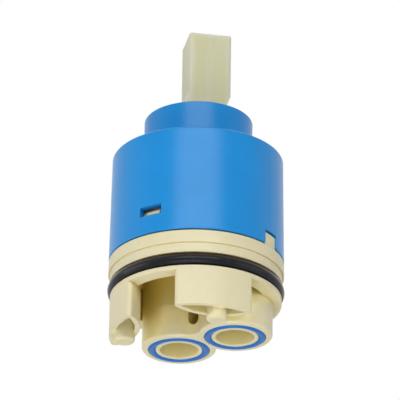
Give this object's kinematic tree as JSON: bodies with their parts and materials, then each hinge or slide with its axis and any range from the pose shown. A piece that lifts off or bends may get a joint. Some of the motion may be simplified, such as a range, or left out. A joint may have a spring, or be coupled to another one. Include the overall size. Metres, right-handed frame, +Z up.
{
  "type": "ceramic disc mixer tap cartridge",
  "caption": "Single-lever ceramic disc mixer cartridge: blue stepped housing, cream base with sealing ring, ported legs and pins, and a square stem that turns and tilts to mix and meter water.",
  "frame": {"origin": "on the cartridge's axis, level with the tips of the locating pins", "axes": "+Z up the axis to the stem, -Y to the outlet side, inlets on the +Y side, hot on +X"},
  "size_m": [0.0404, 0.0404, 0.0775],
  "materials": {
    "housing_blue": "satin moulded plastic",
    "base_cream": "moulded plastic",
    "black_rubber": "satin rubber",
    "blue_seal": "silicone rubber",
    "ceramic_white": "lapped alumina",
    "silencer_grey": "moulded plastic",
    "carrier_white": "moulded plastic",
    "rotor_white": "moulded plastic",
    "glide_white": "low-friction plastic",
    "stem_natural": "natural glass-filled plastic",
    "pin_steel": "ground steel"
  },
  "bodies": {
    "body": {"housing": "housing_blue", "base": "base_cream", "base_o_ring": "black_rubber", "inlet_seal_hot": "blue_seal", "inlet_seal_cold": "blue_seal", "disc_seal_hot": "black_rubber", "disc_seal_cold": "black_rubber", "disc_seal_outlet": "black_rubber", "fixed_disc": "ceramic_white", "glide_ring": "glide_white"},
    "turret": {"rotor": "rotor_white", "pivot_pin": "pin_steel"},
    "lever": {"stem": "stem_natural"},
    "slider": {"carrier": "carrier_white", "carrier_seal": "black_rubber", "silencer": "silencer_grey", "moving_disc": "ceramic_white"}
  },
  "joints": [
    {"name": "mixing_turn", "type": "hinge", "parent": "body", "child": "turret", "pos_m": [0, 0, 0.051], "axis": [0, 0, 1], "range_deg": [0, 94]},
    {"name": "lever_tilt", "type": "hinge", "parent": "turret", "child": "lever", "pos_m": [0, 0, 0.0521], "axis": [0.682, -0.7314, 0], "range_deg": [0, 25]},
    {"name": "disc_slide", "type": "slide", "parent": "turret", "child": "slider", "axis": [0.7314, 0.682, 0], "range_m": [0, 0.00607]}
  ],
  "couplings": [
    {"joint": "lever_tilt", "follows": "disc_slide", "rad_per_m": 71.936}
  ]
}
